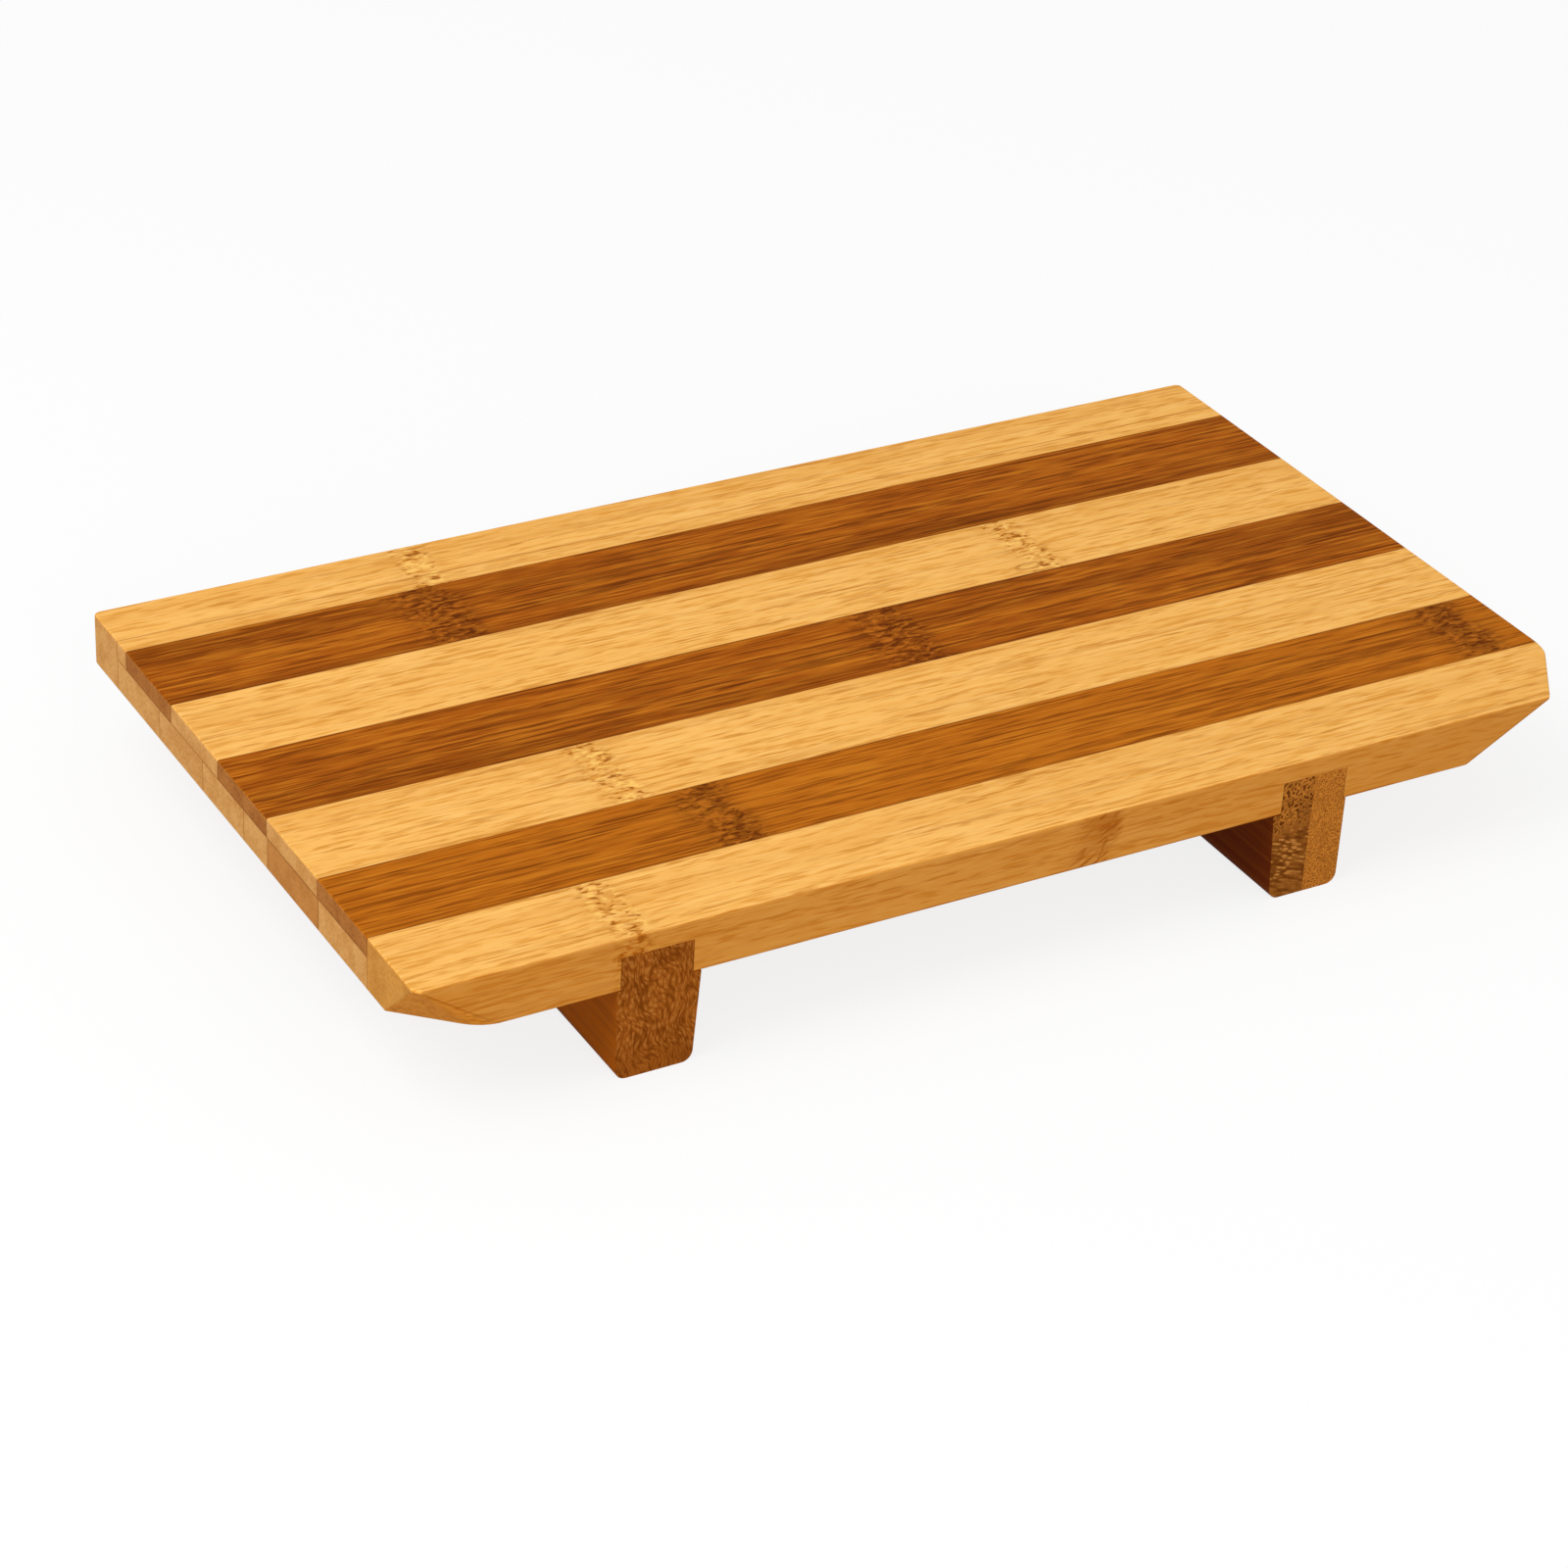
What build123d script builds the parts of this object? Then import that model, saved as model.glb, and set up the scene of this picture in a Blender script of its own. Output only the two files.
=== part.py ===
"""Sushi geta: a two-ply striped bamboo serving board standing on two housed feet.

Frame: millimetres, +Z up, +X along the board, +Y towards its back edge. The
origin lies under the middle of the board, on the surface that the feet stand on.
"""
import os
from math import atan2, cos, isclose, sin, tan

from build123d import *

# Board
LENGTH = 270.0
DEPTH = 156.2
TOP_PLY = 4.2
LOWER_PLY = 7.4
BACK_EDGE = 13.6
FRONT_EDGE = 20.2

# Slats between the two edge slats, from back to front; the last of each ply takes the rest
TOP_WIDTHS = [4.8, 23.8, 23.8, 23.8, 23.8]
LOWER_WIDTHS = [22.2, 22.4, 20.4, 11.6, 23.8]

# Feet: tenons housed in the lower ply, and the bodies below the board
LEFT_FOOT_INSET = 49.9
RIGHT_FOOT_INSET = 70.8
FOOT_HEIGHT = 20.0
TENON_WIDTH = 15.2
HOUSING_CLEARANCE = 0.1
INNER_SHOULDER = 1.8
OUTER_SHOULDER = 0.7
INNER_TAPER = 1.3
FOOT_ROUND = 2.4
LEFT_LAMINATION = 2.7
RIGHT_LAMINATION = 7.6

# Sloping cuts under the two front corners: how far each takes the top edges
# back from the corner, and how much further it takes the lower front edge
LEFT_CUT_SIDE = 1.0
LEFT_CUT_END = 0.9
LEFT_CUT_RUN = 13.4
RIGHT_CUT_SIDE = 10.8
RIGHT_CUT_END = 15.5
RIGHT_CUT_RUN = 20.9

# Edges eased by sanding
EDGE_ROUND = 0.5
BACK_CORNER_ROUND = 1.6
LEFT_CUT_FRONT_ROUND = 12.0
LEFT_CUT_END_ROUND = 0.6
RIGHT_CUT_FRONT_ROUND = 1.2
RIGHT_CUT_END_ROUND = 3.0

# Levels and outlines that follow from the sizes above
BOARD = TOP_PLY + LOWER_PLY
PANEL = DEPTH - BACK_EDGE - FRONT_EDGE
UNDERSIDE = FOOT_HEIGHT
PLY_LINE = UNDERSIDE + LOWER_PLY
TOP = UNDERSIDE + BOARD
LEFT = -LENGTH / 2
RIGHT = LENGTH / 2
FRONT = -DEPTH / 2
BACK = DEPTH / 2
PANEL_BACK = BACK - BACK_EDGE
PANEL_FRONT = FRONT + FRONT_EDGE
LEFT_FOOT = LEFT + LEFT_FOOT_INSET
RIGHT_FOOT = RIGHT - RIGHT_FOOT_INSET
HOUSING = TENON_WIDTH / 2 + HOUSING_CLEARANCE


def same(one, other):
    """Whether two lengths agree, within rounding."""
    return isclose(one, other, abs_tol=1e-6)


def block(x0, x1, y0, y1, z0, z1):
    """A box between two opposite corners."""
    box = Box(x1 - x0, y1 - y0, z1 - z0, align=(Align.MIN, Align.MIN, Align.MIN))
    return Pos(x0, y0, z0) * box


def rows(widths, back):
    """The back and front of each slat in turn, laid side by side across the panel."""
    spans = []
    for width in [*widths, PANEL - sum(widths)]:
        spans.append((back, back - width))
        back -= width
    return spans


def corner_cut(side, cut_side, cut_end, run):
    """The material beyond a plane that slopes in under one front corner; side is -1 or 1."""
    end = side * LENGTH / 2
    on_front = Vector(end - side * cut_side, FRONT, TOP)
    on_end = Vector(end, FRONT + cut_end, TOP)
    below = Vector(end - side * (cut_side + run), FRONT, UNDERSIDE)
    normal = (on_end - on_front).cross(below - on_front) * -side
    reach = 2 * (cut_side + cut_end + run + BOARD)
    wedge = Box(2 * reach, 2 * reach, reach, align=(Align.CENTER, Align.CENTER, Align.MIN))
    return Plane(origin=on_front, z_dir=normal) * wedge


def soft_section(scale, level):
    """The waste at the left front corner at one level, its edge rounded into the front face."""
    side = LEFT_CUT_SIDE + LEFT_CUT_RUN
    end = side * LEFT_CUT_END / LEFT_CUT_SIDE
    angle = atan2(end, side)
    radius = LEFT_CUT_FRONT_ROUND
    reach = radius * tan(angle / 2)
    margin = radius / 4
    past_end = (-margin * cos(angle), end + margin * sin(angle))
    bend_start = (side - reach * cos(angle), reach * sin(angle))
    bend_middle = (side + reach - radius * sin(angle / 2), radius - radius * cos(angle / 2))
    bend_end = (side + reach, 0)
    past_front = (bend_end[0], -margin), (past_end[0], -margin)

    def at(point):
        # The bend runs a hair past the front face, so that it crosses the face cleanly
        return LEFT + scale * point[0], FRONT + scale * point[1] - EDGE_ROUND / 10, level

    outline = Polyline(at(past_end), at(bend_start))
    outline += ThreePointArc(at(bend_start), at(bend_middle), at(bend_end))
    outline += Polyline(at(bend_end), *map(at, past_front), at(past_end))
    return make_face(outline)


def soft_corner_cut():
    """The waste under the left front corner: it tapers upwards to a tip just above the board."""
    tip = BOARD * LEFT_CUT_SIDE / LEFT_CUT_RUN
    margin = tip / 3
    lower = soft_section((BOARD + tip + margin) / (BOARD + tip), UNDERSIDE - margin)
    upper = soft_section((tip - margin) / (BOARD + tip), TOP + margin)
    return loft([lower, upper], ruled=True)


def cut_edge(blank, side, meets_front):
    """The sloping edge where a corner cut meets the front face, or the end of the board."""
    for edge in blank.edges():
        middle, along = edge.center(), edge % 0.5
        sloping = not same(along.Z, 0) and not same(abs(along.Z), 1)
        in_face = same(middle.Y, FRONT) if meets_front else same(middle.X, side * LENGTH / 2)
        if sloping and in_face and middle.X * side > 0:
            return edge


def at_level(edge, level):
    """Whether an edge lies flat at a height."""
    box = edge.bounding_box()
    return same(box.min.Z, level) and same(box.max.Z, level)


def board_blank():
    """The whole glued-up board, shaped and sanded, before it is told apart into slats."""
    blank = block(LEFT, RIGHT, FRONT, BACK, UNDERSIDE, TOP)
    upright = [edge for edge in blank.edges().filter_by(Axis.Z) if edge.center().Y > 0]
    blank = fillet(upright, BACK_CORNER_ROUND)
    blank = blank - soft_corner_cut()
    blank = blank - corner_cut(1, RIGHT_CUT_SIDE, RIGHT_CUT_END, RIGHT_CUT_RUN)
    for side, meets_front, radius in (
        (-1, False, LEFT_CUT_END_ROUND),
        (1, True, RIGHT_CUT_FRONT_ROUND),
        (1, False, RIGHT_CUT_END_ROUND),
    ):
        blank = fillet(cut_edge(blank, side, meets_front), radius)
    rim = [edge for edge in blank.edges() if at_level(edge, TOP) or at_level(edge, UNDERSIDE)]
    return fillet(rim, EDGE_ROUND)


BLANK = board_blank()


def slat(x0, x1, back, front, z0, z1):
    """The part of the board that lies within one slat's own box."""
    return BLANK & block(x0, x1, front, back, z0, z1)


def edge_slat(back, front):
    """A full-thickness slat along the front or back, housed for both feet."""
    piece = slat(LEFT, RIGHT, back, front, UNDERSIDE, TOP)
    for foot_x in (LEFT_FOOT, RIGHT_FOOT):
        piece = piece - block(foot_x - HOUSING, foot_x + HOUSING, FRONT, BACK, UNDERSIDE, PLY_LINE)
    return piece


def foot(centre, outward):
    """A whole foot: a tenon, its shoulders and a body that tapers to rounded lower edges."""
    tenon = centre + outward * TENON_WIDTH / 2, centre - outward * TENON_WIDTH / 2
    shoulder = tenon[0] + outward * OUTER_SHOULDER, tenon[1] - outward * INNER_SHOULDER
    sole = shoulder[0], shoulder[1] + outward * INNER_TAPER
    outline = Polyline(
        (tenon[0], PLY_LINE), (tenon[0], UNDERSIDE), (shoulder[0], UNDERSIDE), (sole[0], 0),
        (sole[1], 0), (shoulder[1], UNDERSIDE), (tenon[1], UNDERSIDE), (tenon[1], PLY_LINE),
        close=True,
    )
    profile = make_face(Plane.XZ * outline)
    body = Pos(0, BACK, 0) * extrude(profile, DEPTH, dir=(0, -1, 0))
    lowest = [edge for edge in body.edges().filter_by(Axis.Y) if same(edge.center().Z, 0)]
    return fillet(lowest, FOOT_ROUND)


def laminations(centre, outward, thickness):
    """The outer and inner layers of a foot, parted at a depth from the tenon's outer face."""
    body = foot(centre, outward)
    joint = centre + outward * (TENON_WIDTH / 2 - thickness)
    reach = TENON_WIDTH + INNER_SHOULDER + OUTER_SHOULDER
    ends = sorted((joint, joint + outward * reach))
    outer_half = block(ends[0], ends[1], FRONT, BACK, 0, TOP)
    return body & outer_half, body - outer_half


def build():
    """Every piece by name."""
    pieces = {
        "slat_back_edge": edge_slat(BACK, PANEL_BACK),
        "slat_front_edge": edge_slat(PANEL_FRONT, FRONT),
    }
    for number, (back, front) in enumerate(rows(TOP_WIDTHS, PANEL_BACK), 1):
        pieces[f"top_slat_{number}"] = slat(LEFT, RIGHT, back, front, PLY_LINE, TOP)
    lengths = {
        "left": (LEFT, LEFT_FOOT - HOUSING),
        "middle": (LEFT_FOOT + HOUSING, RIGHT_FOOT - HOUSING),
        "right": (RIGHT_FOOT + HOUSING, RIGHT),
    }
    for number, (back, front) in enumerate(rows(LOWER_WIDTHS, PANEL_BACK), 1):
        for place, (x0, x1) in lengths.items():
            pieces[f"lower_slat_{place}_{number}"] = slat(x0, x1, back, front, UNDERSIDE, PLY_LINE)
    for name, centre, outward, thickness in (
        ("left", LEFT_FOOT, -1, LEFT_LAMINATION),
        ("right", RIGHT_FOOT, 1, RIGHT_LAMINATION),
    ):
        outer, inner = laminations(centre, outward, thickness)
        pieces[f"foot_{name}_outer"] = outer
        pieces[f"foot_{name}_inner"] = inner
    return pieces


os.makedirs("parts", exist_ok=True)
for name, piece in build().items():
    export_step(piece, f"parts/{name}.step")
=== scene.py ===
"""The looks of a striped bamboo sushi geta: oiled light and dark slats on end-grained feet.

Metres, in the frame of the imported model: +X along the board, +Y to its back, +Z up.
"""
import math
from functools import reduce

import bpy
from mathutils import Matrix, Vector


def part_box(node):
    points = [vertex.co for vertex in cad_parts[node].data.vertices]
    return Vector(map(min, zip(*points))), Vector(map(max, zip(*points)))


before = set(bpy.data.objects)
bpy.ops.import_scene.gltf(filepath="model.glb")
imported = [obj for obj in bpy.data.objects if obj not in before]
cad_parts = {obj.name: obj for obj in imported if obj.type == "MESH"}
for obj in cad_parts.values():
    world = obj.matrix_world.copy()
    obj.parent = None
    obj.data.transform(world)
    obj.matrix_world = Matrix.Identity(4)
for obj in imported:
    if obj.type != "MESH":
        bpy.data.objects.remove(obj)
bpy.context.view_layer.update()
MM = 0.001
WHITE = (1.0, 1.0, 1.0, 1.0)

# Camera: a long lens above the front left corner
CAMERA_PLACE = Vector((-410.32, -663.06, 465.24)) * MM
CAMERA_TARGET = Vector((-38.43, -42.13, 31.6)) * MM
CAMERA_ROLL = math.radians(3.18)
CAMERA_LENS = 98.91
SENSOR = 36.0

# Studio
FLOOR_HALF = 30.0
FLOOR_WHITE = 0.93
FLOOR_BOUNCE = 0.45
SHADOW_SHARE = 0.18
SKY = 0.58
KEY_PLACE = Vector((-0.85, -0.05, 1.15))
KEY_SIZE = 1.1
KEY_POWER = 9.1
FILL_PLACE = Vector((-0.35, -1.5, 0.50))
FILL_SIZE = 1.2
FILL_POWER = 12.0

# Slats: sizes in metres
PLY_LEVEL = 27.4 * MM
EDGE_SLAT_THICK = 10.0 * MM
GLUE_LINE = 0.35 * MM
GLUE_CORE = 0.2 * GLUE_LINE
NODE_SHADE = 13.0 * MM
NODE_SHADE_PAST = 0.6 * NODE_SHADE
NODE_WANDER = 6.0 * MM
EYE_LONG = 3.2 * MM
EYE_WIDE = 1.3 * MM
SWERVE = 0.35 * MM
SLAT_RELIEF = 0.08 * MM

# Slats: spots of the grain to the metre, along X, Y and Z or across the fibres alone
FINE_ACROSS = 1500
LINES_ACROSS = 950
VEIN_ACROSS = 800
GLINT_ACROSS = 700
SPARSE = (9, 640, 640)
BROAD = (5, 100, 100)
CLOUD = (60, 170, 170)
BEND = (170, 230, 230)
WANDER = (0, 130, 130)
END_DOTS = (0, 1300, 1300)
EYE_RAG = (500, 900, 500)

# Slats: where each layer of the grain starts to show, and where it shows in full
DASH_EDGE = (0.50, 0.40)
SPARSE_EDGE = (0.40, 0.32)
GLEAM_EDGE = (0.53, 0.63)
CLOUD_EDGE = (0.48, 0.70)
BROAD_EDGE = (0.42, 0.68)
VEIN_EDGE = (0.045, 0.010)
VEIN_FINE = (0.62, 0.44)
GLINT_EDGE = (0.040, 0.008)
GLINT_FINE = (0.40, 0.58)
SPOT_EDGE = (0.55, 0.64)
HOLLOW_EDGE = (0.455, 0.385)
PIT_EDGE = (0.375, 0.330)
END_DOT_EDGE = (0.25, 0.65)
END_CLOUD_EDGE = (0.35, 0.65)
EYE_FILL_EDGE = (1.0, 0.7)
EYE_RIM_EDGE = (0.30, 0.05)

# Slats: shares of the layers
DASH_FINE = 0.45
GLEAM_FINE = 0.6
GLEAM_LINES = 0.75
GLEAM_CLOUD = 0.35
RELIEF_FINE = 0.5
END_DOT_SHARE = 0.35
END_CLOUD_SHARE = 0.40
GLUE_SHARE = 0.5
EYE_FILL = 0.3
EYE_RIM = 0.45
EYE_RIM_AT = 0.9
EYE_RAGGED = 0.5
NODE_SWERVE = 4
CORE_BEFORE = 0.4
CORE_AFTER = 0.3
CURL_FLAT = 2.3
CURL_WARP = 0.5
SLAT_ROUGH = 0.60
SLAT_SHEEN = 0.12

# The mark of a node on the front face
FRONT_MIDDLE = 25.0 * MM
KNOT_LEAN = 0.36
KNOT_RAG = (170, 160, 300)
KNOT_RAGGED = 6.0 * MM
KNOT_LEFT = (-9.5 * MM, -2.0 * MM)
KNOT_RIGHT = (3.5 * MM, 0.0)
KNOT_UPPER = (FRONT_MIDDLE - 4.0 * MM, FRONT_MIDDLE + 4.0 * MM)
KNOT_ABOVE = 0.30
KNOT_BELOW = 0.18
KNOT_DASH = (320, 300, 1200)
KNOT_DASH_SLOPE = 0.45
KNOT_DASH_EDGE = (0.49, 0.39)
KNOT_DASH_SHARE = 0.75
CRACK_RAGGED = 2.5 * MM
CRACK_EDGE = (0.5 * MM, 0.1 * MM)
CRACK_TOP = (FRONT_MIDDLE + 3.0 * MM, FRONT_MIDDLE)
CRACK_SHARE = 0.5

# Which way a face looks: the part of its normal where a finish starts, and where it is full
FRONT_FACING = (-0.6, -0.85)
SIDE_FACING = (0.75, 0.45)
# The painted shade of the sloping cuts starts and is full between these, and stops before the flat
# underside
CUT_FACING = (-0.17, -0.38)
CUT_NOT_BELOW = (-0.95, -0.75)
END_FACING = (0.70, 0.90)
FOOT_END_FACING = (0.4, 0.8)

# Feet: fibres to the metre, sizes in metres and shares of the layers
FOOT_RELIEF = 0.12 * MM
FOOT_DRIFT = (120, 2, 120)
DRIFT_ACROSS = 6.5 * MM
DRIFT_UP = 2.0 * MM
DRIFT_LOW_DOWN = 20.0 * MM
BUNDLE_RAG = (1100, 12, 1100)
BUNDLE_RAGGED = 0.5
BUNDLE_RUN = 9
FLECK_EDGE = (0.46, 0.24)
FLECK_ON_SIDE = 0.25
DOT_EDGE = (0.48, 0.30)
GAP_EDGE = (0.50, 0.78)
GAP_SHARE = 0.6
STROKE_LONG = 0.42
STROKE_THIN = 1.5
STROKE_SLANT = 0.3
STROKE_LEVELS = (19.0 * MM, 15.0 * MM)
STROKE_GROUND = 0.62
GRIT = (2600, 30, 2600)
GRIT_EDGE = (0.46, 0.34)
GRIT_SHARE = 0.3
PATCH = (190, 6, 150)
PATCH_EDGE = (0.42, 0.64)
WORN_RAGGED = 6.0 * MM
WORN_LEVELS = (6.5 * MM, 3.0 * MM)
WORN_SHARE = 0.75
SIDE_STREAK = (300, 14, 420)
SIDE_STREAK_EDGE = (0.42, 0.64)
SIDE_STREAK_SHARE = 0.6
SIDE_SHARE = 0.85
RELIEF_FLECK = 0.6
FOOT_ROUGH = 0.58
FOOT_SHEEN = 0.05

# Both: a satin oil
BUMP_STRENGTH = 0.6
SPECULAR = 0.02


def srgb(red, green, blue):
    """A screen colour of 0 to 255 as linear values."""
    scaled = [value / 255 for value in (red, green, blue)]
    return tuple(v / 12.92 if v <= 0.04045 else ((v + 0.055) / 1.055) ** 2.4 for v in scaled)


# Tones of the slats: colours, then spots to the metre along the fibres (short, long, vein) and
# how much of each layer shows. For the nodes: colours, how much shows, curls to the metre, and
# how far the curls reach before a node and past it, in mm
SIDE_TINT = (1.0, 0.90, 0.68)
# Painted shade: the sloping cuts under the corners face down and are darkened where shade falls on
# them
CUT_PAINTED_SHADE = (0.78, 0.61, 0.34)
LIGHT = {
    "base": srgb(245, 183, 94), "streak": srgb(219, 147, 56), "deep": srgb(156, 80, 10),
    "pale": srgb(251, 198, 116), "end": srgb(206, 142, 70), "end_dot": srgb(236, 178, 106),
    "short": 160, "long": 46, "vein": 14, "veins": 0.30, "glints": 0.40,
    "dash": 0.75, "line": 0.20, "gleam": 0.55, "broad": 0.28,
    "eye": srgb(254, 204, 112), "spot": srgb(255, 204, 108), "hollow": srgb(186, 108, 16),
    "pit": srgb(136, 70, 8), "shade": 0.12, "spots": 0.75, "curls": 0.70, "pits": 0.65,
    "curl": 430, "reach": 6, "past": 5,
}
DARK = {
    "base": srgb(167, 86, 12), "streak": srgb(106, 46, 0), "deep": srgb(78, 31, 0),
    "pale": srgb(206, 126, 30), "end": srgb(158, 92, 34), "end_dot": srgb(196, 128, 60),
    "short": 80, "long": 15, "vein": 9, "veins": 0.50, "glints": 0.38,
    "dash": 0.68, "line": 0.50, "gleam": 0.60, "broad": 0.48,
    "eye": srgb(106, 46, 0), "spot": srgb(210, 120, 32), "hollow": srgb(98, 38, 0),
    "pit": srgb(70, 24, 0), "shade": 0.36, "spots": 0.45, "curls": 0.70, "pits": 0.35,
    "curl": 430, "reach": 13, "past": 6,
}
FRONT_LIGHT = dict(LIGHT, end=srgb(199, 130, 50), end_dot=srgb(228, 163, 76))
FRONT_DARK = dict(
    DARK, base=srgb(183, 101, 17), streak=srgb(122, 58, 2),
    dash=0.70, line=0.25, veins=0.35, broad=0.28, shade=0.50, reach=9,
)
LOWER_DARK = dict(DARK, end=srgb(190, 122, 54), end_dot=srgb(214, 146, 74))

# Tones of the feet: colours, then how much of each layer shows
FOOT = {
    "base": srgb(152, 82, 21), "deep": srgb(94, 40, 0), "pale": srgb(198, 128, 56),
    # The side colour here is lighter than FOOT_COARSE's as painted light, where light falls on the
    # outer sides of the left feet
    "side": srgb(186, 96, 0), "side_streak": srgb(150, 78, 8),
    "patch": 0.30, "fleck": 0.42, "dots": 0.0, "strokes": False,
}
FOOT_COARSE = dict(
    FOOT, base=srgb(194, 120, 44), deep=srgb(82, 34, 0), pale=srgb(204, 136, 64),
    side=srgb(104, 34, 0), side_streak=srgb(124, 54, 2),
    patch=0.35, fleck=0.75, dots=0.9, strokes=True,
)
FOOT_PALE = dict(
    FOOT, base=srgb(202, 126, 46), deep=srgb(112, 54, 2), pale=srgb(204, 136, 64),
    patch=0.12, fleck=0.1, dots=0.75,
)

# Edge and top slats: tones and a seed for the grain, then, in mm from the middle of the board,
# where nodes cross the slat, where a bud scar lies and where a node marks the front face
SLATS = (
    ("slat_back_edge", LIGHT, 1.3, [-65], None, None),
    ("slat_front_edge", FRONT_LIGHT, 8.7, [-89.6], None, 13.9),
    ("top_slat_1", LIGHT, 2.1, [-65], None, None),
    ("top_slat_2", DARK, 3.4, [-68], (-69.7, 38.9), None),
    ("top_slat_3", LIGHT, 4.2, [58.6], (54.2, 15.3), None),
    ("top_slat_4", DARK, 5.9, [14.9], None, None),
    ("top_slat_5", LIGHT, 6.5, [-67.3], None, None),
    ("top_slat_6", FRONT_DARK, 7.8, [-54.2, 124], None, None),
)

# Lower slats: six rows of three lengths, one row dark, each with a seed of its own
LOWER_ROWS = 6
LOWER_LENGTHS = ("left", "middle", "right")
LOWER_DARK_ROW = 5
LOWER_SEED = 10
SEED_BY_ROW = 1.7
SEED_BY_LENGTH = 0.3

# Feet: tones, a seed, the bundles of fibres to the metre across and up, and their slant
FEET = (
    ("foot_left_outer", FOOT, 1.0, 1950, 640, 0.1),
    ("foot_left_inner", FOOT, 2.0, 1900, 600, 0.25),
    ("foot_right_inner", FOOT_COARSE, 3.0, 1150, 900, 0.0),
    ("foot_right_outer", FOOT_PALE, 4.0, 1700, 1500, 0.0),
)


class Sock:
    """A shader socket whose arithmetic adds Math nodes."""

    def __init__(self, paint, socket):
        self.paint = paint
        self.socket = socket

    def _math(self, operation, a, b=None):
        values = {0: a} if b is None else {0: a, 1: b}
        return self.paint.node("ShaderNodeMath", {"operation": operation}, values)

    def __add__(self, other):
        return self._math("ADD", self, other)

    def __sub__(self, other):
        return self._math("SUBTRACT", self, other)

    def __rsub__(self, other):
        return self._math("SUBTRACT", other, self)

    def __mul__(self, other):
        return self._math("MULTIPLY", self, other)

    def __truediv__(self, other):
        return self._math("DIVIDE", self, other)

    def __pow__(self, other):
        return self._math("POWER", self, other)

    __radd__ = __add__
    __rmul__ = __mul__

    def least(self, other):
        return self._math("MINIMUM", self, other)

    def most(self, other):
        return self._math("MAXIMUM", self, other)

    def size(self):
        return self._math("ABSOLUTE", self)

    def step(self, low, high):
        """0 below low and 1 above high, smoothly between; low may be the larger."""
        return self.paint.node(
            "ShaderNodeMapRange", {"interpolation_type": "SMOOTHSTEP"},
            {"Value": self, "From Min": low, "From Max": high},
        )


class Paint:
    """The node tree of a material or of the world, built one node at a time."""

    def __init__(self, owner):
        owner.use_nodes = True
        self.owner = owner
        self.tree = owner.node_tree
        self.tree.nodes.clear()

    def node(self, kind, settings=None, values=None, out=0):
        """Any node: its settings, the values or links of its sockets, and the output to use."""
        made = self.tree.nodes.new(kind)
        for key, value in (settings or {}).items():
            setattr(made, key, value)
        for key, value in (values or {}).items():
            if isinstance(value, Sock):
                self.tree.links.new(value.socket, made.inputs[key])
            else:
                made.inputs[key].default_value = value
        return Sock(self, made.outputs[out]) if len(made.outputs) else None

    def split(self, vector):
        """A vector as three sockets."""
        first = self.node("ShaderNodeSeparateXYZ", values={0: vector})
        return [Sock(self, output) for output in first.socket.node.outputs]

    def place(self):
        """The piece's own coordinates."""
        return self.split(self.node("ShaderNodeTexCoord", out="Object"))

    def facing(self):
        """The way the surface faces."""
        return self.split(self.node("ShaderNodeNewGeometry", out="Normal"))

    def join(self, x, y, z):
        return self.node("ShaderNodeCombineXYZ", values={0: x, 1: y, 2: z})

    def spread(self, place, counts, shift, axis=0):
        """A place scaled to so many spots to the metre each way, and shifted along one axis."""
        scaled = [value * count for value, count in zip(place, counts)]
        scaled[axis] = scaled[axis] + shift
        return self.join(*scaled)

    def noise(self, at, detail=2.0, rough=0.5, warp=0.0):
        return self.node(
            "ShaderNodeTexNoise", {},
            {"Vector": at, "Scale": 1.0, "Detail": detail, "Roughness": rough, "Distortion": warp},
        )

    def cells(self, at):
        """The distance to the nearest of many scattered points."""
        return self.node("ShaderNodeTexVoronoi", {"feature": "F1"}, {"Vector": at, "Scale": 1.0})

    def blend(self, factor, first, second):
        """From the first colour to the second."""
        values = {0: factor, 6: first, 7: second}
        for key in (6, 7):
            if isinstance(values[key], tuple):
                values[key] = (*values[key], 1.0)
        return self.node("ShaderNodeMix", {"data_type": "RGBA"}, values, 2)

    def tint(self, factor, colour, shade):
        """The colour multiplied by a shade."""
        settings = {"data_type": "RGBA", "blend_type": "MULTIPLY"}
        return self.node("ShaderNodeMix", settings, {0: factor, 6: colour, 7: (*shade, 1.0)}, 2)

    def oiled(self, colour, rough, height, relief):
        """Ends a material: a satin oiled surface with a fine relief."""
        bump = self.node(
            "ShaderNodeBump", {},
            {"Strength": BUMP_STRENGTH, "Distance": relief, "Height": height},
        )
        shader = self.node(
            "ShaderNodeBsdfPrincipled", {},
            {
                "Base Color": colour, "Roughness": rough, "Normal": bump,
                "Specular IOR Level": SPECULAR,
            },
        )
        self.node("ShaderNodeOutputMaterial", {}, {"Surface": shader})
        return self.owner


def bamboo(node):
    """An empty finish for one piece."""
    return Paint(bpy.data.materials.new(f"bamboo_{node}"))


def dress(node, material):
    """Gives a CAD piece its finish."""
    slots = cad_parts[node].data.materials
    slots.clear()
    slots.append(material)


def mean(first, second, share):
    """Two patterns added together, the first by its share."""
    return first * share + second * (1 - share)


def culm_nodes(paint, place, tones, seed, marks):
    """Where nodes of the culm cross a slat: their curled cores, and a wider shade round each."""
    wander = paint.noise(paint.spread(place, WANDER, seed)) - 0.5
    before, after = -tones["reach"] * MM, tones["past"] * MM
    cores, shades = [], []
    for mark in marks:
        offset = place[0] - mark * MM + wander * NODE_WANDER
        started = offset.step(before, CORE_BEFORE * before)
        cores.append(started * offset.step(after, CORE_AFTER * after))
        shades.append(offset.step(-NODE_SHADE, 0.0) * offset.step(NODE_SHADE_PAST, 0.0))
    return reduce(Sock.most, cores), reduce(Sock.most, shades)


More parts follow.
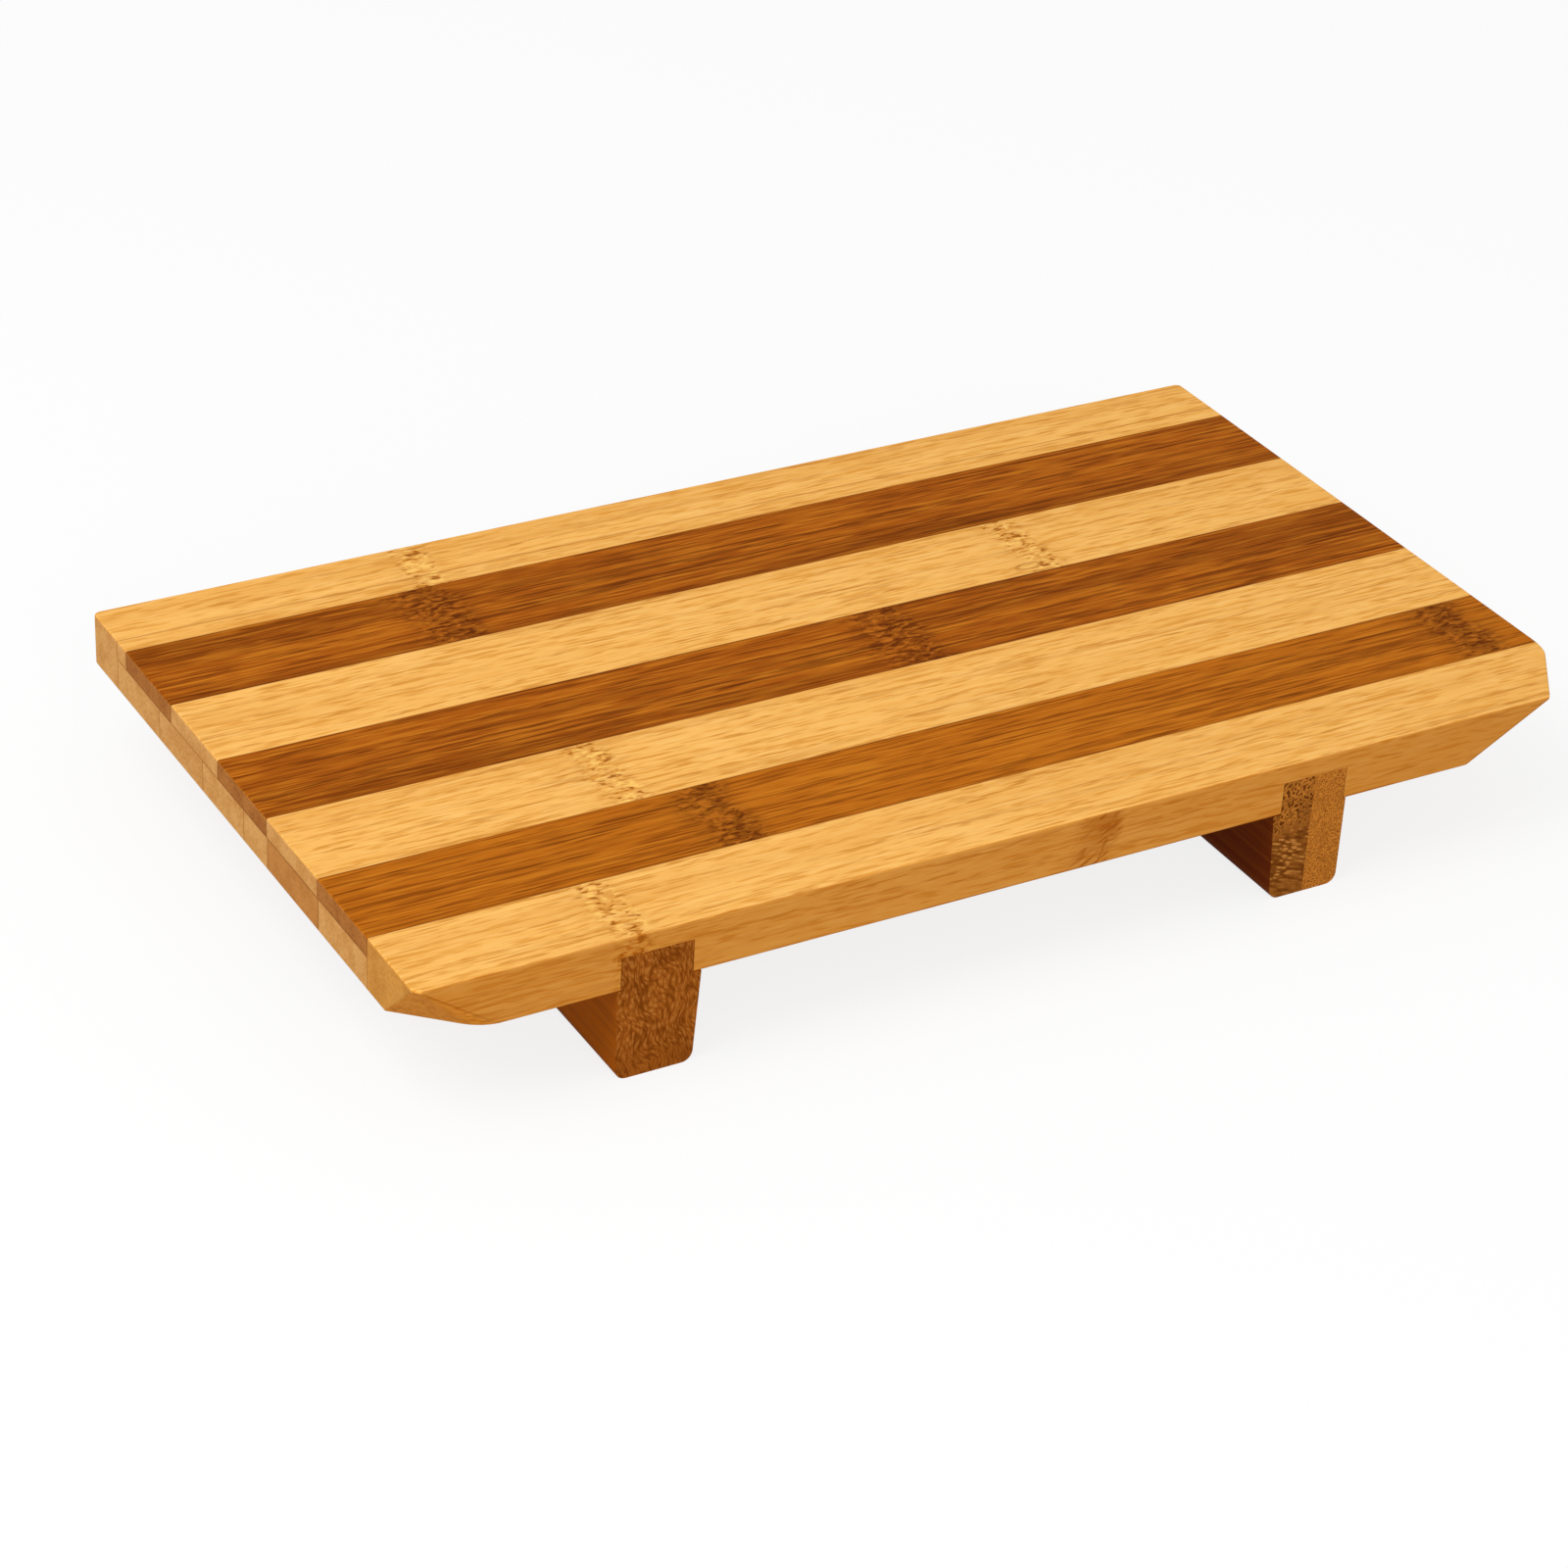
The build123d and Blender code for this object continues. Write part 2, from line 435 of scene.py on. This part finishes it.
def fibres(paint, place, along, across, shift, detail=1.0, rough=0.5, warp=0.0):
    """Noise drawn out along a slat, with so many spots to the metre along and across it."""
    return paint.noise(paint.spread(place, (along, across, across), shift), detail, rough, warp)


def streaks(paint, place, swerved, tones, seed, fine, lines, cloud):
    """The long grain of a slat: dashes, fine dark lines, a gleam, broad bands, veins and glints."""
    sparse = paint.noise(paint.spread(swerved, SPARSE, -seed), 1.0)
    broad = paint.noise(paint.spread(place, BROAD, -seed))
    vein = fibres(paint, swerved, tones["vein"], VEIN_ACROSS, seed * 3)
    glint = fibres(paint, swerved, tones["vein"], GLINT_ACROSS, -seed * 3)
    veins = (vein - 0.5).size().step(*VEIN_EDGE) * fine.step(*VEIN_FINE)
    glints = (glint - 0.5).size().step(*GLINT_EDGE) * fine.step(*GLINT_FINE)
    dashes = mean(fine, lines, DASH_FINE).step(*DASH_EDGE)
    gleam = mean(fine, lines, GLEAM_FINE).step(*GLEAM_EDGE) * GLEAM_LINES
    gleam = gleam + cloud.step(*CLOUD_EDGE) * GLEAM_CLOUD
    colour = tones["base"]
    for factor, tone in (
        (dashes * tones["dash"], "streak"),
        (sparse.step(*SPARSE_EDGE) * tones["line"], "deep"),
        (gleam * tones["gleam"], "pale"),
        (broad.step(*BROAD_EDGE) * tones["broad"], "streak"),
        (veins * tones["veins"], "deep"),
        (glints * tones["glints"], "pale"),
    ):
        colour = paint.blend(factor, colour, tones[tone])
    return colour


def node_curls(paint, colour, swerved, tones, seed, core, shade):
    """A node's soft shade, with pale spots, dark hollows and small pits where fibres curl."""
    curl = tones["curl"]
    ripple = fibres(paint, swerved, curl, CURL_FLAT * curl, seed, 1.5, warp=CURL_WARP)
    colour = paint.blend(shade * tones["shade"], colour, tones["deep"])
    for edge, amount, tone in (
        (SPOT_EDGE, "spots", "spot"),
        (HOLLOW_EDGE, "curls", "hollow"),
        (PIT_EDGE, "pits", "pit"),
    ):
        colour = paint.blend(ripple.step(*edge) * core * tones[amount], colour, tones[tone])
    return colour


def eye_mark(paint, colour, place, tones, at):
    """A small oval bud scar with a dark rim."""
    along = (place[0] - at[0] * MM) / EYE_LONG
    wide = (place[1] - at[1] * MM) / EYE_WIDE
    rag = paint.noise(paint.spread(place, EYE_RAG, 0.0)) - 0.5
    ring = (along * along + wide * wide) ** 0.5 + rag * EYE_RAGGED
    colour = paint.blend(ring.step(*EYE_FILL_EDGE) * EYE_FILL, colour, tones["eye"])
    rim = (ring - EYE_RIM_AT).size().step(*EYE_RIM_EDGE)
    return paint.blend(rim * EYE_RIM, colour, tones["deep"])


def front_knot(paint, colour, place, tones, seed, at):
    """The brown trace of a node on the front face, deeper above, with a fine slanting crack."""
    x, y, z = place
    on_front = paint.facing()[1].step(*FRONT_FACING)
    rag = paint.noise(paint.spread(place, KNOT_RAG, seed), rough=0.6) - 0.5
    lean = x - at * MM - (z - FRONT_MIDDLE) * KNOT_LEAN
    edge = lean + rag * KNOT_RAGGED
    patch = edge.step(*KNOT_LEFT) * edge.step(*KNOT_RIGHT)
    above = z.step(*KNOT_UPPER) * KNOT_ABOVE + KNOT_BELOW
    sloped = x, y, z - x * KNOT_DASH_SLOPE
    dashes = paint.noise(paint.spread(sloped, KNOT_DASH, seed), 1.5).step(*KNOT_DASH_EDGE)
    crack = (lean + rag * CRACK_RAGGED).size().step(*CRACK_EDGE) * z.step(*CRACK_TOP)
    for factor in (patch * above, patch * dashes * KNOT_DASH_SHARE, crack * CRACK_SHARE):
        colour = paint.blend(factor * on_front, colour, tones["deep"])
    return colour


def cut_faces(paint, colour, place, tones, seed, cloud):
    """The sides deeper than the top, painted shade on the sloping cuts that face down, and the
    mottled ends of the fibres.
    """
    facing = paint.facing()
    colour = paint.tint(facing[2].step(*SIDE_FACING), colour, SIDE_TINT)
    # Painted shade darkens the sloping cuts that face down, but not the flat underside
    shaded_slope = facing[2].step(*CUT_FACING) * facing[2].step(*CUT_NOT_BELOW)
    colour = paint.tint(shaded_slope, colour, CUT_PAINTED_SHADE)
    dots = paint.cells(paint.spread(place, END_DOTS, seed)).step(*END_DOT_EDGE)
    mottle = dots * END_DOT_SHARE + cloud.step(*END_CLOUD_EDGE) * END_CLOUD_SHARE
    end_colour = paint.blend(mottle, tones["end"], tones["end_dot"])
    return paint.blend(facing[0].size().step(*END_FACING), colour, end_colour)


def glue_lines(paint, colour, place, tones, node):
    """Thin dark lines along a slat's sides, and between the two plies."""
    y, z = place[1:]
    low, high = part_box(node)
    seam = (y - low[1]).least(high[1] - y)
    if high[2] - low[2] < EDGE_SLAT_THICK:
        seam = seam.least((z - PLY_LEVEL).size())
    return paint.blend(seam.step(GLUE_LINE, GLUE_CORE) * GLUE_SHARE, colour, tones["deep"])


def slat_finish(node, tones, seed, marks=(), eye=None, front_mark=None):
    """Bamboo along X: streaks that swerve round the nodes, cut fibre ends and glue lines."""
    paint = bamboo(node)
    x, y, z = place = paint.place()
    bend = (paint.noise(paint.spread(place, BEND, seed)) - 0.5) * SWERVE
    if marks:
        core, shade = culm_nodes(paint, place, tones, seed, marks)
        bend = bend * (shade * NODE_SWERVE + 1)
    swerved = x, y + bend, z + bend
    fine = fibres(paint, swerved, tones["short"], FINE_ACROSS, seed, 1.5, 0.6)
    lines = fibres(paint, swerved, tones["long"], LINES_ACROSS, seed * 2, 2.0, 0.6)
    cloud = paint.noise(paint.spread(place, CLOUD, seed), rough=0.55)
    colour = streaks(paint, place, swerved, tones, seed, fine, lines, cloud)
    if marks:
        colour = node_curls(paint, colour, swerved, tones, seed, core, shade)
    if eye is not None:
        colour = eye_mark(paint, colour, place, tones, eye)
    if front_mark is not None:
        colour = front_knot(paint, colour, place, tones, seed, front_mark)
    colour = cut_faces(paint, colour, place, tones, seed, cloud)
    colour = glue_lines(paint, colour, place, tones, node)
    relief = mean(fine, lines, RELIEF_FINE)
    return paint.oiled(colour, SLAT_ROUGH - fine * SLAT_SHEEN, relief, SLAT_RELIEF)


def bundles(paint, place, tones, seed, wide, tall, slant):
    """The cut bundles of a foot's fibres, and how far down they turn to strokes, if they do."""
    x, y, z = place
    drift = paint.noise(paint.spread(place, FOOT_DRIFT, seed), 1.0) - 0.5
    across = x + z * slant + drift * DRIFT_ACROSS
    up = z - x * slant + drift * DRIFT_UP
    run = y * BUNDLE_RUN + seed
    ragged = paint.noise(paint.spread(place, BUNDLE_RAG, seed, 1)) - 0.5
    rag = ragged * BUNDLE_RAGGED
    bundle = paint.cells(paint.join(across * wide + rag, run, up * tall + rag))
    if not tones["strokes"]:
        return bundle, None
    # Lower down the bundles are cut along their length and show as pale strokes
    leaning = (z + x * STROKE_SLANT) * (tall * STROKE_THIN)
    stroke = paint.cells(paint.join(across * (wide * STROKE_LONG) + ragged, run, leaning))
    low_down = (z + drift * DRIFT_LOW_DOWN).step(*STROKE_LEVELS)
    return bundle + (stroke - bundle) * low_down, low_down


def foot_end(paint, place, tones, seed, bundle, fleck, grit, low_down):
    """The end grain of a foot: patches, dark dots, pale flecks that wear off below, and grit."""
    patch = paint.noise(paint.spread(place, PATCH, seed, 1))
    worn = (place[2] + (patch - 0.5) * WORN_RAGGED).step(*WORN_LEVELS)
    colour = paint.blend(patch.step(*PATCH_EDGE) * tones["patch"], tones["base"], tones["deep"])
    if low_down is not None:
        colour = paint.blend(low_down * STROKE_GROUND, colour, tones["deep"])
    if tones["dots"]:
        dots = bundle.step(*DOT_EDGE) * tones["dots"]
        dots = dots if low_down is None else dots * (1 - low_down)
        colour = paint.blend(dots, colour, tones["deep"])
    flecks = fleck * tones["fleck"] * (1 - worn * WORN_SHARE)
    colour = paint.blend(flecks, colour, tones["pale"])
    colour = paint.blend(bundle.step(*GAP_EDGE) * GAP_SHARE, colour, tones["deep"])
    return paint.blend(grit.step(*GRIT_EDGE) * GRIT_SHARE, colour, tones["deep"])


def foot_finish(node, tones, seed, wide, tall, slant):
    """Bamboo along Y: cut bundles of fibres fleck the ends and streak the sides."""
    paint = bamboo(node)
    place = paint.place()
    bundle, low_down = bundles(paint, place, tones, seed, wide, tall, slant)
    on_end = paint.facing()[1].size().step(*FOOT_END_FACING)
    fleck = bundle.step(*FLECK_EDGE) * (on_end * (1 - FLECK_ON_SIDE) + FLECK_ON_SIDE)
    if low_down is not None:
        fleck = fleck * low_down
    grit = paint.noise(paint.spread(place, GRIT, seed, 1), rough=0.6)
    end = foot_end(paint, place, tones, seed, bundle, fleck, grit, low_down)
    streak = paint.noise(paint.spread(place, SIDE_STREAK, seed, 1), rough=0.6)
    streak = streak.step(*SIDE_STREAK_EDGE) * SIDE_STREAK_SHARE
    # The side colour carries painted light on the left feet, whose outer sides catch the light
    side = paint.blend(streak, tones["side"], tones["side_streak"])
    colour = paint.blend((1 - on_end) * SIDE_SHARE, end, side)
    relief = mean(fleck, grit, RELIEF_FLECK)
    return paint.oiled(colour, FOOT_ROUGH - fleck * FOOT_SHEEN, relief, FOOT_RELIEF)


def studio_floor():
    """A white floor that keeps a soft shadow and sends little light back up."""
    mesh = bpy.data.meshes.new("floor")
    reach = FLOOR_HALF
    corners = [(-reach, -reach, 0), (reach, -reach, 0), (reach, reach, 0), (-reach, reach, 0)]
    mesh.from_pydata(corners, [], [(0, 1, 2, 3)])
    floor = bpy.data.objects.new("floor", mesh)
    bpy.context.collection.objects.link(floor)
    paint = Paint(bpy.data.materials.new("floor_white"))
    rays = ("Is Camera Ray", "Is Glossy Ray", "Is Transmission Ray")
    seen = reduce(Sock.most, [paint.node("ShaderNodeLightPath", out=ray) for ray in rays])
    grey, white = [
        paint.node("ShaderNodeBsdfDiffuse", {}, {"Color": (level, level, level, 1.0)})
        for level in (FLOOR_BOUNCE, FLOOR_WHITE)
    ]
    glow = paint.node("ShaderNodeEmission", {}, {"Color": WHITE, "Strength": 1.0})
    shown = paint.node("ShaderNodeMixShader", {}, {0: SHADOW_SHARE, 1: glow, 2: white})
    mixed = paint.node("ShaderNodeMixShader", {}, {0: seen, 1: grey, 2: shown})
    paint.node("ShaderNodeOutputMaterial", {}, {"Surface": mixed})
    mesh.materials.append(paint.owner)


def studio_sky():
    """An even pale sky, white where the camera sees it."""
    paint = Paint(bpy.data.worlds.new("studio"))
    seen = paint.node("ShaderNodeLightPath", out="Is Camera Ray")
    sky, white = [
        paint.node("ShaderNodeBackground", {}, {"Color": WHITE, "Strength": strength})
        for strength in (SKY, 1.0)
    ]
    mixed = paint.node("ShaderNodeMixShader", {}, {0: seen, 1: sky, 2: white})
    paint.node("ShaderNodeOutputWorld", {}, {"Surface": mixed})
    bpy.context.scene.world = paint.owner


def studio_lamp(name, place, size, power):
    """A broad round lamp, aimed at the board."""
    lamp = bpy.data.lights.new(name, "AREA")
    lamp.shape = "DISK"
    lamp.size = size
    lamp.energy = power
    light = bpy.data.objects.new(name, lamp)
    light.location = place
    light.rotation_euler = (-place).to_track_quat("-Z", "Y").to_euler()
    bpy.context.collection.objects.link(light)


def camera():
    """The photographer's place, aim and slight tilt of the frame."""
    data = bpy.data.cameras.new("camera")
    data.lens = CAMERA_LENS
    data.sensor_width = SENSOR
    data.sensor_fit = "HORIZONTAL"
    eye = bpy.data.objects.new("camera", data)
    aim = (CAMERA_TARGET - CAMERA_PLACE).to_track_quat("-Z", "Y").to_matrix()
    turned = aim @ Matrix.Rotation(CAMERA_ROLL, 3, "Z")
    eye.matrix_world = Matrix.Translation(CAMERA_PLACE) @ turned.to_4x4()
    bpy.context.collection.objects.link(eye)
    bpy.context.scene.camera = eye


for name, *finish in SLATS:
    dress(name, slat_finish(name, *finish))
for row in range(1, LOWER_ROWS + 1):
    for column, length in enumerate(LOWER_LENGTHS):
        name = f"lower_slat_{length}_{row}"
        tones = LOWER_DARK if row == LOWER_DARK_ROW else LIGHT
        seed = LOWER_SEED + row * SEED_BY_ROW + column * SEED_BY_LENGTH
        dress(name, slat_finish(name, tones, seed))
for name, *finish in FEET:
    dress(name, foot_finish(name, *finish))

studio_floor()
studio_sky()
studio_lamp("key", KEY_PLACE, KEY_SIZE, KEY_POWER)
studio_lamp("fill", FILL_PLACE, FILL_SIZE, FILL_POWER)
camera()
bpy.context.scene.view_settings.view_transform = "Standard"
